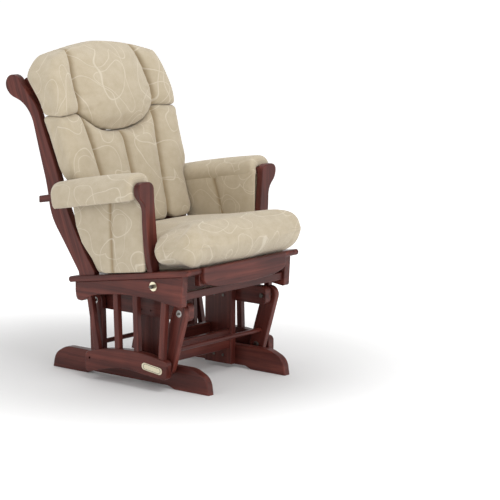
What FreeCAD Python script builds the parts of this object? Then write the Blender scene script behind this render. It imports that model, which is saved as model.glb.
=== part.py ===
"""Glider nursery chair: a cushioned seat hung by four swing arms from a low wooden base.

Frame: +Z up, the sitter faces -Y, +X is the sitter's left, and the origin is on the floor under
the middle of the chair. Lengths are millimetres, angles are degrees.
"""
import FreeCAD
import Part
import math
import os

from FreeCAD import Placement, Rotation, Vector

SIZES = {
    # board thicknesses and edge easing
    "board": 28.0, "post_board": 25.0, "plank_thick": 19.0, "ease": 3.0,
    # base
    "foot_inner": 175.0, "foot_front": -394.0, "foot_rear": 267.0, "foot_rise": 75.0,
    "foot_relief": 9.0, "foot_pad_front": 140.0, "foot_pad_rear": 150.0,
    "post_inner": 150.0, "post_front": -191.0, "post_deep": 111.0,
    "post_low": 12.0, "post_top": 277.0, "rail_low": 220.0, "rail_high": 60.0,
    "rail_overrun": 16.0, "rail_corner": 18.0,
    "front_stretcher_low": 66.0, "front_stretcher_high": 63.0,
    "rear_stretcher_low": 106.0, "rear_stretcher_high": 36.0, "stretcher_thick": 22.0,
    # glide linkage, at rest
    "pivot_high": 250.0, "front_pivot_y": -298.0, "rear_pivot_y": 52.0, "link_long": 180.0,
    "front_lean": 16.5, "rear_lean": -2.2, "link_wide": 56.0, "link_thick": 20.0,
    "link_inner": 211.0, "crossbar_radius": 7.5, "front_crossbar_drop": 128.0,
    "rear_crossbar_drop": 138.0, "bolt_radius": 4.0, "bearing_radius": 11.0,
    "running_gap": 0.05, "side_gap": 0.3, "open_pivot_gap": 2.2,
    "head_radius": 7.0, "head_thick": 5.0, "spacer_radius": 10.0, "bolt_grip": 20.0,
    # seat frame
    "seat_inner": 239.0, "side_front": -343.0, "side_rear": 106.0,
    "plank_inner": 203.0, "plank_wide": 72.0, "plank_front": -369.0, "plank_rear": 127.0,
    "plank_front_top": 398.0, "plank_rear_top": 323.0,
    "spindle": 20.0, "apron_front": -376.0, "apron_thick": 18.0, "apron_half": 202.0,
    "cross_rail_front": -331.0, "cross_rail_thick": 18.0, "cross_rail_low": 297.0,
    "cross_rail_high": 25.0, "frame_rail_thick": 22.0, "frame_drop": 5.0,
    "front_rail_high": 46.0, "front_rail_level": 60.0, "rear_rail_high": 30.0,
    "rear_rail_inset": 10.0, "spring_wire": 1.8, "spring_pitch": 26.0, "spring_half": 24.0,
    "spring_spacing": 78.0, "spring_front_inset": 6.0, "spring_rear_inset": 16.0,
    "spring_front_gap": 2.7, "spring_rear_gap": 0.1, "spring_ends": 30.0,
    # back
    "back_inner": 242.0, "slat_wide": 42.0, "slat_thick": 12.0, "slat_spacing": 88.0,
    # arms
    "arm_inner": 267.0, "arm_wide": 50.0, "arm_thick": 22.0, "arm_front": -204.0,
    "arm_rear": 214.0, "arm_front_top": 650.0, "arm_rear_top": 577.0,
    "arm_post_thick": 22.0, "arm_post_top": 658.0,
    # glide lock and plate
    "lock_y": -226.0, "lock_z": 332.0, "lock_plate_radius": 14.5, "lock_plate_thick": 2.5,
    "knob_radius": 6.5, "knob_long": 9.0, "lock_shaft_radius": 4.0,
    "cam_long": 46.0, "cam_wide": 18.0, "cam_thick": 6.0,
    "plate_y": -220.0, "plate_z": 72.0, "plate_long": 84.0, "plate_high": 22.0,
    "plate_thick": 1.5, "plate_tilt": 7.0,
    # soft goods
    "soft_gap": 1.0, "cushion_half": 234.0, "cushion_front_half": 272.0,
    "cushion_front": -410.0, "cushion_rear": 84.0, "ear_gap": 6.0, "cushion_thick": 132.0,
    "cushion_round": 36.0,
    "back_half": 264.0, "back_low_half": 244.0, "back_cushion_low": 474.0,
    "back_notch_top": 642.0, "back_notch_deep": 300.0, "head_half": 266.0,
    "pad_inner": 247.0, "pad_wide": 97.0, "pad_front": -203.0, "pad_rear": 146.0,
    "pad_crown": 37.0, "pad_inner_skirt": 26.0, "pad_outer_skirt": 50.0,
    "pad_void_margin": 12.0,
    "outer_panel_inner": 269.0, "outer_panel_thick": 22.0,
    "inner_panel_inner": 247.0, "inner_panel_thick": 15.0, "panel_drop": 8.0,
}

doc = FreeCAD.newDocument("glider_chair")
sheet = doc.addObject("Spreadsheet::Sheet", "Sizes")
for row, (alias, value) in enumerate(SIZES.items(), start=1):
    sheet.set(f"A{row}", alias)
    sheet.set(f"B{row}", str(value))
    sheet.setAlias(f"B{row}", alias)
doc.recompute()

NODES = []


def size(alias):
    """The value of one cell of the sheet."""
    return float(sheet.get(alias))


def cell(text):
    """Turns '@name' words of a formula into references to the sheet."""
    return text.replace("@", "Sizes.")


def bind(item, **formulas):
    """Binds properties of an object, written with __ for a dot, to formulas of sheet cells."""
    for name, formula in formulas.items():
        item.setExpression(name.replace("__", "."), cell(formula))


def node(item, label):
    """Marks an object as one sub-part, which is written to parts/label.step."""
    item.Label = label
    NODES.append(item)


def made(label):
    """A sub-part made earlier."""
    return next(item for item in NODES if item.Label == label)


def plank_top(y):
    """Height of the top of the seat planks, which slope down to the rear."""
    slope = (size("plank_rear_top") - size("plank_front_top"))
    return size("plank_front_top") + slope * (y - size("plank_front")) / (
        size("plank_rear") - size("plank_front"))


def arm_top(y):
    """Height of the top of the arm boards, which slope down to the rear."""
    slope = (size("arm_rear_top") - size("arm_front_top"))
    return size("arm_front_top") + slope * (y - size("arm_front")) / (
        size("arm_rear") - size("arm_front"))


# ---------------------------------------------------------------- outlines and boards


FREE = 1e6  # a corner radius as large as its two sides allow
SHARP = 0.0


def rounded(*corners):
    """A closed outline of straight sides whose corners, (a, b, radius), are tangent arcs."""
    count = len(corners)
    ends = []
    for i, (a, b, radius) in enumerate(corners):
        here = Vector(a, b, 0)
        back = Vector(*corners[i - 1][:2], 0) - here
        ahead = Vector(*corners[(i + 1) % count][:2], 0) - here
        half = back.getAngle(ahead) / 2
        reach = min(radius / math.tan(half), 0.49 * back.Length, 0.49 * ahead.Length)
        start, end = here + back.normalize() * reach, here + ahead.normalize() * reach
        bow = reach * math.tan(half) * (1 / math.sin(half) - 1)
        ends.append((start, here + (back + ahead).normalize() * bow, end))
    edges = []
    for i, (start, middle, end) in enumerate(ends):
        if (end - start).Length > 1e-6:
            edges.append(Part.Arc(start, middle, end))
        edges.append(Part.LineSegment(end, ends[(i + 1) % count][0]))
    return edges


def bar_outline(start, end, wide):
    """A strip with round ends about two centres."""
    ax = Vector(end[0] - start[0], end[1] - start[1], 0).normalize()
    side = Vector(-ax.y, ax.x, 0) * (wide / 2)
    tip = ax * (wide / 2)
    a, b = Vector(*start, 0), Vector(*end, 0)
    return [
        Part.LineSegment(a + side, b + side), Part.Arc(b + side, b + tip, b - side),
        Part.LineSegment(b - side, a - side), Part.Arc(a - side, a - tip, a + side),
    ]


PLANES = {"side": ("YZ_Plane", Vector(1, 0, 0)), "front": ("XZ_Plane", Vector(0, 1, 0))}


def board(name, outline, thickness, plane="side", ease="@ease", holes=()):
    """A flat board: an outline padded by its thickness, with eased edges on both faces.

    On the side plane the outline is (y, z) and the thickness runs along +X. On the front plane
    the outline is (x, z) and the thickness runs along -Y.
    """
    body = doc.addObject("PartDesign::Body", name)
    sketch = body.newObject("Sketcher::SketchObject", name + "_outline")
    role, axis = PLANES[plane]
    origin = next(f for f in body.Origin.OriginFeatures if f.Role == role)
    sketch.AttachmentSupport = [(origin, "")]
    sketch.MapMode = "FlatFace"
    for edge in outline:
        sketch.addGeometry(edge, False)
    for centre, radius in holes:
        sketch.addGeometry(Part.Circle(Vector(*centre, 0), Vector(0, 0, 1), radius), False)
    pad = body.newObject("PartDesign::Pad", name + "_pad")
    pad.Profile = sketch
    bind(pad, Length=thickness)
    doc.recompute()
    if ease:
        fillet = body.newObject("PartDesign::Fillet", name + "_ease")
        fillet.Base = (pad, rim_edges(pad.Shape, axis))
        bind(fillet, Radius=ease)
        body.Tip = fillet
        doc.recompute()
    return body


def rim_edges(shape, axis):
    """Names of the outer edges of the two faces that an outline was padded between."""
    rims = []
    for face in shape.Faces:
        flat = face.Surface.TypeId == "Part::GeomPlane"
        if flat and abs(abs(face.normalAt(0, 0).dot(axis)) - 1) < 1e-6:
            rims += face.OuterWire.Edges
    return [f"Edge{i}" for i, edge in enumerate(shape.Edges, start=1)
            if any(edge.isSame(rim) for rim in rims)]


def sides():
    """The chair's two sides, with the sign of X of each."""
    return (("left", 1), ("right", -1))


def at_side(item, sign, inner, thickness):
    """Places a piece whose thickness runs along +X with its inner face at the given X."""
    formula = f"{inner}" if sign > 0 else f"-({inner}) - ({thickness})"
    bind(item, Placement__Base__x=formula)


def box(name, low, span):
    """A box with its low corner and span given as formulas of sheet cells."""
    item = doc.addObject("Part::Box", name)
    bind(item, Length=span[0], Width=span[1], Height=span[2], Placement__Base__x=low[0],
         Placement__Base__y=low[1], Placement__Base__z=low[2])
    return item


def rod(name, radius, length, x, y, z):
    """A round rod along +X from the given point, all given as formulas."""
    item = doc.addObject("Part::Cylinder", name)
    item.Placement = Placement(Vector(), Rotation(Vector(0, 1, 0), 90))
    bind(item, Radius=radius, Height=length, Placement__Base__x=x, Placement__Base__y=y,
         Placement__Base__z=z)
    return item


def eased(name, base, radius="@ease"):
    """A piece with all its edges rounded."""
    doc.recompute()
    item = doc.addObject("Part::Fillet", name)
    item.Base = base
    value = size(radius[1:]) if radius.startswith("@") else float(radius)
    item.Edges = [(i, value, value) for i in range(1, len(base.Shape.Edges) + 1)]
    return item


def cut(name, base, tool):
    item = doc.addObject("Part::Cut", name)
    item.Base = base
    item.Tool = tool
    return item


def fuse(name, pieces):
    item = doc.addObject("Part::MultiFuse", name)
    item.Shapes = list(pieces)
    return item


def group(name, pieces):
    """Identical separate solids that share one node."""
    item = doc.addObject("Part::Compound", name)
    item.Links = list(pieces)
    return item


# ---------------------------------------------------------------- pivots

FRONT_TOP = (size("front_pivot_y"), size("pivot_high"))
REAR_TOP = (size("rear_pivot_y"), size("pivot_high"))


def along_link(top, lean, drop):
    """The point a distance down a link that leans to the rear by an angle."""
    turn = math.radians(lean)
    return (top[0] + drop * math.sin(turn), top[1] - drop * math.cos(turn))


FRONT_LOW = along_link(FRONT_TOP, size("front_lean"), size("link_long"))
REAR_LOW = along_link(REAR_TOP, size("rear_lean"), size("link_long"))


# ---------------------------------------------------------------- base


def foot_outline():
    """A runner with a blunt rounded nose at each end, relieved under its middle."""
    front, rear, rise = size("foot_front"), size("foot_rear"), size("foot_rise")
    relief = size("foot_relief")
    pad_front, pad_rear = front + size("foot_pad_front"), rear - size("foot_pad_rear")
    return rounded(
        (front, 0, SHARP), (pad_front, 0, SHARP), (pad_front + 24, relief, 20),
        (pad_rear - 24, relief, 20), (pad_rear, 0, SHARP), (rear, 0, SHARP),
        (rear - 9, 47, 60), (rear - 58, rise, 70), (front + 66, rise + 1, 80),
        (front + 8, 52, 55))


def rail_outline():
    """The base rail, square with rounded corners just past both pivots."""
    low, high = size("rail_low"), size("rail_low") + size("rail_high")
    front = size("front_pivot_y") - size("rail_overrun")
    rear = size("rear_pivot_y") + size("rail_overrun")
    corner = size("rail_corner")
    return rounded((front, low, corner), (rear, low, corner), (rear, high, corner),
                   (front, high, corner))


SCREW_SPOTS = [(-158.0, 238.0), (-120.0, 238.0), (-158.0, 40.0), (-120.0, 40.0)]
SCREW_RADIUS = 2.5
SCREW_HEAD_RADIUS = 4.5
SCREW_HEAD_THICK = 2.0
SCREW_BITE = 20.0


def make_base():
    bore = size("bolt_radius") + size("running_gap")
    hole = SCREW_RADIUS + size("running_gap")
    high_spots, low_spots = SCREW_SPOTS[:2], SCREW_SPOTS[2:]
    for side, sign in sides():
        foot = board(f"foot_{side}_board", foot_outline(), "@board",
                     holes=[(spot, hole) for spot in low_spots])
        at_side(foot, sign, "@foot_inner", "@board")
        node(foot, f"base_foot_{side}")
        rail = board(f"rail_{side}_board", rail_outline(), "@board",
                     holes=[(FRONT_TOP, bore), (REAR_TOP, bore)]
                     + [(spot, hole) for spot in high_spots])
        at_side(rail, sign, "@foot_inner", "@board")
        node(rail, f"base_rail_{side}")
        front, low = size("post_front"), size("post_low")
        rear, high = front + size("post_deep"), size("post_top")
        post = board(f"post_{side}_board",
                     rounded((front, low, SHARP), (rear, low, SHARP), (rear, high, SHARP),
                             (front, high, SHARP)),
                     "@post_board", holes=[(spot, hole) for spot in SCREW_SPOTS])
        at_side(post, sign, "@post_inner", "@post_board")
        node(post, f"base_post_{side}")
    for name, low, high, y in (
            ("front_stretcher", "@front_stretcher_low", "@front_stretcher_high",
             "@post_front + 2"),
            ("rear_stretcher", "@rear_stretcher_low", "@rear_stretcher_high",
             "@post_front + @post_deep - @stretcher_thick - 2")):
        blank = box(name + "_blank", ("-@post_inner", y, low),
                    ("2 * @post_inner", "@stretcher_thick", high))
        node(eased(name + "_board", blank), name)
    node(group("base_screw_group", base_screws()), "base_screws")


def base_screws():
    """Screws through the posts into the rails above and the feet below, heads inboard."""
    screws = []
    long = size("post_board") + SCREW_BITE
    for side, sign in sides():
        for i, (y, z) in enumerate(SCREW_SPOTS):
            name = f"base_screw_{side}_{i}"
            inner = f"{sign} * @post_inner"
            shank_x = inner if sign > 0 else f"-@post_inner - {long}"
            head_x = f"{inner} - {SCREW_HEAD_THICK}" if sign > 0 else inner
            shank = rod(name + "_shank", f"{SCREW_RADIUS}", f"{long}", shank_x, f"{y}", f"{z}")
            head = rod(name + "_head", f"{SCREW_HEAD_RADIUS}", f"{SCREW_HEAD_THICK}", head_x,
                       f"{y}", f"{z}")
            screws.append(fuse(name, [shank, head]))
    return screws


# ---------------------------------------------------------------- swing links


def link_bearing(name, y, z, sign, gap):
    """A bearing ring pressed into a link eye, as thick as the link."""
    x = "@link_inner" if sign > 0 else "-@link_inner - @link_thick"
    ring = rod(name + "_ring", "@bearing_radius", "@link_thick", x, f"{y}", f"{z}")
    bore = rod(name + "_bore", f"@bolt_radius + {gap}", "@link_thick", x, f"{y}", f"{z}")
    return cut(name, ring, bore)


def make_links(which, top, lean, low, crossbar_drop, low_gap):
    """Two links of one end of the chair, the bar between them and their bearings."""
    rings = []
    eye = size("bearing_radius")
    for side, sign in sides():
        link = board(f"{which}_link_{side}_board", bar_outline(top, low, size("link_wide")),
                     "@link_thick", ease="@ease", holes=[(top, eye), (low, eye)])
        at_side(link, sign, "@link_inner", "@link_thick")
        node(link, f"{which}_link_{side}")
        rings.append(link_bearing(f"{which}_upper_ring_{side}", *top, sign, "@running_gap"))
        rings.append(link_bearing(f"{which}_lower_ring_{side}", *low, sign, low_gap))
    node(group(f"{which}_rings", rings), f"{which}_link_bearings")
    y, z = along_link(top, lean, crossbar_drop)
    bar = rod(f"{which}_bar", "@crossbar_radius", "2 * @link_inner", "-@link_inner", f"{y}",
              f"{z}")
    node(bar, f"{which}_crossbar")


def headed_bolt(name, head_x, shank_x, shank_long, y, z):
    """A bolt along X: a low round head and a plain shank."""
    head = rod(name + "_head", "@head_radius", "@head_thick", head_x, f"{y}", f"{z}")
    shank = rod(name + "_shank", "@bolt_radius", shank_long, shank_x, f"{y}", f"{z}")
    return fuse(name, [head, shank])


def spacer(name, x, long, y, z):
    """A spacing collar on a bolt."""
    ring = rod(name + "_ring", "@spacer_radius", long, x, f"{y}", f"{z}")
    bore = rod(name + "_bore", "@bolt_radius + @running_gap", long, x, f"{y}", f"{z}")
    return cut(name, ring, bore)


def make_pivots():
    """Upper bolts fixed in the base rails and lower bolts fixed in the seat's lower rails."""
    upper_bolts, upper_spacers, lower_bolts, lower_spacers = [], [], [], []
    link_outer = "(@link_inner + @link_thick)"
    rail_outer = "(@foot_inner + @board)"
    upper_long = f"({link_outer} + 3 - @foot_inner)"
    lower_long = f"(@seat_inner + @bolt_grip - @link_inner + @side_gap)"
    for end, top, low in (("front", FRONT_TOP, FRONT_LOW), ("rear", REAR_TOP, REAR_LOW)):
        for side, sign in sides():
            tag = f"{end}_{side}"
            if sign > 0:
                head_x, shank_x = "@foot_inner - @head_thick", "@foot_inner"
                collar_x = rail_outer
                low_head_x = "@link_inner - @side_gap - @head_thick"
                low_shank_x = "@link_inner - @side_gap"
                low_collar_x = f"{link_outer} + @side_gap"
            else:
                head_x, shank_x = "-@foot_inner", f"-@foot_inner - {upper_long}"
                collar_x = "-@link_inner + @side_gap"
                low_head_x = "-@link_inner + @side_gap"
                low_shank_x = f"-@link_inner + @side_gap - {lower_long}"
                low_collar_x = "-@seat_inner"
            upper_bolts.append(headed_bolt(f"upper_bolt_{tag}", head_x, shank_x, upper_long,
                                           *top))
            upper_spacers.append(spacer(f"upper_spacer_{tag}", collar_x,
                                        f"@link_inner - @side_gap - {rail_outer}", *top))
            lower_bolts.append(headed_bolt(f"lower_bolt_{tag}", low_head_x, low_shank_x,
                                           lower_long, *low))
            lower_spacers.append(spacer(f"lower_spacer_{tag}", low_collar_x,
                                        f"@seat_inner - {link_outer} - @side_gap", *low))
    node(group("upper_bolt_group", upper_bolts), "upper_pivot_bolts")
    node(group("upper_spacer_group", upper_spacers), "upper_pivot_spacers")
    node(group("lower_bolt_group", lower_bolts), "lower_pivot_bolts")
    node(group("lower_spacer_group", lower_spacers), "lower_pivot_spacers")


# ---------------------------------------------------------------- seat frame


def side_rail_outline():
    """The seat's side board: a straight top under the plank and an arched lower edge."""
    front, rear, under = size("side_front"), size("side_rear"), size("plank_thick")
    return rounded(
        (front, plank_top(front) - under, SHARP), (front + 5, 276, 8), (-210, 291, FREE),
        (-90, 292, FREE), (30, 274, FREE), (78, 249, 12), (100, 250, 14), (rear, 276, 60),
        (rear, plank_top(rear) - under, SHARP))


def plank_outline():
    """The cap plank in side view, with a rounded nose at each end."""
    front, rear, thick = size("plank_front"), size("plank_rear"), size("plank_thick")
    nose = 8
    return rounded(
        (front, plank_top(front) - thick, nose), (rear, plank_top(rear) - thick, nose),
        (rear, plank_top(rear), nose), (front, plank_top(front), nose))


def lower_rail_outline():
    """The seat's lower rail: a shallow arch with rounded ends, thicker at the front."""
    return rounded(
        (-277, 41, 12), (-190, 47, FREE), (-105, 57, FREE), (-30, 46, FREE), (63, 20, 14),
        (65, 88, 18), (-20, 109, FREE), (-100, 117, FREE), (-180, 116, FREE), (-277, 101, 16))


SPINDLES = [((50, 264), (18, 100)), ((-61, 288), (-69, 112)), ((-143, 292), (-149, 114)),
            ((-262, 286), (-251, 106))]
SPINDLE_TENON = 15.0


def spindle_outline(top, low):
    """A square bar that runs on by a tenon's length past both rail edges."""
    run = Vector(top[0] - low[0], top[1] - low[1], 0).normalize()
    side = Vector(-run.y, run.x, 0) * (size("spindle") / 2)
    a = Vector(*low, 0) - run * SPINDLE_TENON
    b = Vector(*top, 0) + run * SPINDLE_TENON
    return [Part.LineSegment(a + side, b + side), Part.LineSegment(b + side, b - side),
            Part.LineSegment(b - side, a - side), Part.LineSegment(a - side, a + side)]


def make_seat_sides():
    lock_bore = size("lock_shaft_radius") + size("running_gap")
    bore = size("bolt_radius") + size("running_gap")
    for side, sign in sides():
        holes = [((size("lock_y"), size("lock_z")), lock_bore)] if sign < 0 else []
        upper = board(f"side_rail_{side}_board", side_rail_outline(), "@board", holes=holes)
        at_side(upper, sign, "@seat_inner", "@board")
        node(upper, f"seat_side_rail_{side}")
        plank = board(f"plank_{side}_board", plank_outline(), "@plank_wide")
        at_side(plank, sign, "@plank_inner", "@plank_wide")
        node(plank, f"seat_plank_{side}")
        lower = board(f"lower_rail_{side}_board", lower_rail_outline(), "@board",
                      holes=[(FRONT_LOW, bore), (REAR_LOW, bore)])
        at_side(lower, sign, "@seat_inner", "@board")
        node(lower, f"lower_side_rail_{side}")
        rails = group(f"rails_{side}", [upper, lower])
        bars = []
        for i, (top, low) in enumerate(SPINDLES):
            bar = board(f"spindle_{side}_{i}", spindle_outline(top, low), "@spindle",
                        ease="@ease")
            at_side(bar, sign, "@seat_inner + (@board - @spindle) / 2", "@spindle")
            bars.append(cut(f"spindle_{side}_{i}_fitted", bar, rails))
        node(group(f"spindle_group_{side}", bars), f"spindles_{side}")


def apron_outline():
    """The front apron: straight lip on top, round lower corners and a bowed lower edge."""
    half, top = size("apron_half"), size("plank_front_top") - 1
    return rounded((-half, top, 5), (-half, 350, 26), (-half * 0.72, 333, FREE),
                   (0, 326, FREE), (half * 0.72, 333, FREE), (half, 350, 26), (half, top, 5))


def make_seat_cross_members():
    apron = board("apron_board", apron_outline(), "@apron_thick", plane="front")
    bind(apron, Placement__Base__y="@apron_front + @apron_thick")
    node(apron, "front_apron")
    low_rail = box("cross_rail_blank", ("-@seat_inner", "@cross_rail_front", "@cross_rail_low"),
                   ("2 * @seat_inner", "@cross_rail_thick", "@cross_rail_high"))
    node(eased("cross_rail_board", low_rail), "front_cross_rail")
    front_top = plank_top(size("apron_front") + size("front_rail_level")) - size("frame_drop")
    front = box("front_rail_blank", ("-@plank_inner", "@apron_front + @apron_thick",
                                     f"{front_top} - @front_rail_high"),
                ("2 * @plank_inner", "@frame_rail_thick", "@front_rail_high"))
    node(eased("front_rail_board", front), "seat_front_rail")
    rear_top = plank_top(size("plank_rear") - size("rear_rail_inset")) - size("frame_drop")
    rear = box("rear_rail_blank",
               ("-@plank_inner", "@plank_rear - @rear_rail_inset - @frame_rail_thick",
                f"{rear_top} - @rear_rail_high"),
               ("2 * @plank_inner", "@frame_rail_thick", "@rear_rail_high"))
    node(eased("rear_rail_board", rear), "seat_rear_rail")
    node(make_springs(front_top, rear_top), "seat_springs")


SPRING_COUNT = 5


def zigzag(run):
    """The middle line of one spring along +Y: straight ends and round bends between them."""
    half, pitch = size("spring_half"), size("spring_pitch")
    bends = int((run - size("spring_ends")) / (pitch / 2)) // 2 * 2
    lead = (run - bends * pitch / 2) / 2
    edges, point, way = [], Vector(0, lead, 0), 1
    edges.append(Part.LineSegment(Vector(), point).toShape())
    for bend in range(bends):
        last = bend == bends - 1
        turn = Vector(0 if last else way * half, point.y, 0)
        after = turn + Vector(0, pitch / 2, 0)
        middle = turn + Vector(way * pitch / 4, pitch / 4, 0)
        edges.append(Part.LineSegment(point, turn).toShape())
        edges.append((Part.LineSegment(turn, after) if last
                      else Part.Arc(turn, middle, after)).toShape())
        point, way = after, -way
    edges.append(Part.LineSegment(point, point + Vector(0, lead, 0)).toShape())
    return Part.Wire(edges)


def make_springs(front_top, rear_top):
    """Zigzag springs laid over the seat's front and rear rails."""
    wire = size("spring_wire")
    y_front = size("apron_front") + size("apron_thick") + size("spring_front_inset")
    y_rear = size("plank_rear") - size("spring_rear_inset")
    z_front = front_top + wire + size("spring_front_gap")
    z_rear = rear_top + wire + size("spring_rear_gap")
    ring = Part.Wire(Part.Circle(Vector(), Vector(0, 1, 0), wire).toShape())
    path = zigzag(math.hypot(z_rear - z_front, y_rear - y_front))
    spring = path.makePipeShell([ring], True, False, 1)
    slope = math.degrees(math.atan2(z_rear - z_front, y_rear - y_front))
    spring.rotate(Vector(), Vector(1, 0, 0), slope)
    copies = []
    for i in range(SPRING_COUNT):
        copy = spring.copy()
        aside = (i - (SPRING_COUNT - 1) / 2) * size("spring_spacing")
        copy.translate(Vector(aside, y_front, z_front))
        copies.append(copy)
    item = doc.addObject("Part::Feature", "springs")
    item.Shape = Part.makeCompound(copies)
    return item


# ---------------------------------------------------------------- back

def back_post_outline():
    """A sawn post: splayed foot, bend at arm height, and a scroll at the top."""
    rear = [(92, 342, 8), (150, 424, FREE), (212, 508, FREE), (226, 600, FREE),
            (262, 716, FREE), (292, 820, FREE), (330, 862, FREE), (392, 882, FREE),
            (413, 915, FREE), (396, 947, FREE), (358, 948, FREE)]
    front = [(318, 900, FREE), (272, 858, FREE), (240, 780, FREE), (186, 658, FREE),
             (150, 560, FREE), (118, 492, FREE), (74, 420, FREE), (24, 350, 8),
             (22, 336, SHARP), (88, 326, SHARP)]
    return rounded(*rear, *front)


def slat_outline():
    """A back slat, which follows the bend of the posts."""
    front = [(112, 480), (146, 545), (178, 622), (212, 704), (264, 822), (296, 872)]
    thick = size("slat_thick")
    rear = [(y + thick, z - 4) for y, z in reversed(front)]
    corners = [(y, z, SHARP if (y, z) in (front[0], front[-1], rear[0], rear[-1]) else FREE)
               for y, z in front + rear]
    return rounded(*corners)


SLAT_COUNT = 5


def make_back():
    for side, sign in sides():
        post = board(f"back_post_{side}_board", back_post_outline(), "@post_board")
        at_side(post, sign, "@back_inner", "@post_board")
        node(cut(f"back_post_{side}_fitted", post, made(f"seat_plank_{side}")),
             f"back_post_{side}")
    crest = board("crest_board", rounded((270, 860, 4), (340, 940, 4), (357, 926, 4),
                                         (287, 846, 4)), "2 * @back_inner")
    bind(crest, Placement__Base__x="-@back_inner")
    node(crest, "crest_rail")
    lower = board("back_lower_board", rounded((86, 430, 4), (114, 490, 4), (134, 481, 4),
                                              (106, 421, 4)), "2 * @back_inner")
    bind(lower, Placement__Base__x="-@back_inner")
    node(lower, "back_lower_rail")
    rails = group("back_rails", [crest, lower])
    slats = []
    for i in range(SLAT_COUNT):
        slat = board(f"slat_{i}", slat_outline(), "@slat_wide")
        bind(slat, Placement__Base__x=f"({i} - {(SLAT_COUNT - 1) / 2}) * @slat_spacing"
             " - @slat_wide / 2")
        slats.append(cut(f"slat_{i}_fitted", slat, rails))
    node(group("slat_group", slats), "back_slats")


# ---------------------------------------------------------------- arms


def arm_post_outline(sign):
    """The sawn arm post seen from the front: round nose on top, sweeping in to its foot."""
    top = size("arm_post_top")
    outer = [(271, 372, SHARP), (288, 432, FREE), (297, 520, FREE), (298, 582, FREE),
             (334, 616, FREE), (334, top, 34)]
    inner = [(264, top, 36), (262, 610, FREE), (254, 530, FREE), (244, 440, FREE),
             (236, 372, SHARP)]
    return rounded(*[(sign * x, z, radius) for x, z, radius in outer + inner])


def arm_board_outline():
    """The arm board in side view."""
    front, rear, thick = size("arm_front"), size("arm_rear"), size("arm_thick")
    return rounded((front, arm_top(front) - thick, SHARP), (rear, arm_top(rear) - thick, 3),
                   (rear, arm_top(rear), 3), (front, arm_top(front), SHARP))


def make_arms():
    for side, sign in sides():
        post = board(f"arm_post_{side}_board", arm_post_outline(sign), "@arm_post_thick",
                     plane="front")
        bind(post, Placement__Base__y="@arm_front")
        node(cut(f"arm_post_{side}_fitted", post, made(f"seat_plank_{side}")),
             f"arm_post_{side}")
        top = board(f"arm_board_{side}_board", arm_board_outline(), "@arm_wide")
        at_side(top, sign, "@arm_inner", "@arm_wide")
        node(top, f"arm_board_{side}")


# ---------------------------------------------------------------- glide lock and plate


def make_lock():
    """Lock plate and knob on the right side board, with its shaft and cam inboard."""
    outer = "(@seat_inner + @board)"
    y, z = "@lock_y", "@lock_z"
    plate = rod("lock_plate_disc", "@lock_plate_radius", "@lock_plate_thick",
                f"-{outer} - @lock_plate_thick", y, z)
    hole = rod("lock_plate_hole", "@lock_shaft_radius + @running_gap", "@lock_plate_thick",
               f"-{outer} - @lock_plate_thick", y, z)
    node(cut("lock_plate_ring", plate, hole), "lock_plate")
    knob = rod("knob_button", "@knob_radius", "@knob_long",
               f"-{outer} - @lock_plate_thick - @side_gap - @knob_long", y, z)
    shaft = rod("knob_shaft", "@lock_shaft_radius", "@board + @lock_plate_thick + 2 * @side_gap",
                f"-{outer} - @lock_plate_thick - @side_gap", y, z)
    grip = box("knob_grip", (f"-{outer} - @lock_plate_thick - @side_gap - @knob_long - 4",
                             "@lock_y - @knob_radius + 1", "@lock_z - 2.5"),
               ("6", "2 * @knob_radius - 2", "5"))
    node(fuse("knob_solid", [knob, shaft, grip]), "lock_knob")
    end = (size("lock_y") + size("cam_long") - size("cam_wide"), size("lock_z"))
    cam = board("cam_board", bar_outline((size("lock_y"), size("lock_z")), end,
                                         size("cam_wide")), "@cam_thick", ease="1")
    bind(cam, Placement__Base__x="-@seat_inner + @side_gap")
    node(cam, "lock_cam")


def make_plate():
    """A blank oval plate on the right lower rail."""
    tilt = math.radians(size("plate_tilt"))
    reach = (size("plate_long") - size("plate_high")) / 2
    y, z = size("plate_y"), size("plate_z")
    start = (y - reach * math.cos(tilt), z - reach * math.sin(tilt))
    end = (y + reach * math.cos(tilt), z + reach * math.sin(tilt))
    plate = board("plate_board", bar_outline(start, end, size("plate_high")), "@plate_thick",
                  ease="")
    bind(plate, Placement__Base__x="-@seat_inner - @board - @plate_thick")
    node(plate, "blank_plate")


# ---------------------------------------------------------------- soft goods


def seat_cushion_outline():
    """The seat cushion in side view: it lies on the planks and has a full round front."""
    gap, thick, front = size("soft_gap"), size("cushion_thick"), size("cushion_front")
    rear = size("cushion_rear")
    return rounded(
        (front + 26, plank_top(front + 26) + gap, 30), (rear, plank_top(rear) + gap, 20),
        (rear - 14, plank_top(rear) + thick, 24), (-240, plank_top(-240) + thick + 10, FREE),
        (front + 14, plank_top(front) + thick + 2, 50), (front, 470, 40))


NOTCH_MARGIN = 5.0


def make_seat_cushion():
    blank = board("seat_cushion_blank", seat_cushion_outline(), "2 * @cushion_front_half",
                  ease="@cushion_round")
    bind(blank, Placement__Base__x="-@cushion_front_half")
    notches = []
    for side, sign in sides():
        low_x = "@cushion_half" if sign > 0 else f"-@cushion_front_half - {NOTCH_MARGIN}"
        low_y = "@arm_front - @arm_post_thick - @ear_gap"
        notches.append(box(f"cushion_notch_{side}",
                           (low_x, low_y, "@plank_rear_top - @plank_thick"),
                           (f"@cushion_front_half - @cushion_half + {NOTCH_MARGIN}",
                            f"@cushion_rear - ({low_y}) + {NOTCH_MARGIN}",
                            "2 * @cushion_thick")))
    node(cut("seat_cushion_tee", blank, group("cushion_notches", notches)), "seat_cushion")


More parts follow.
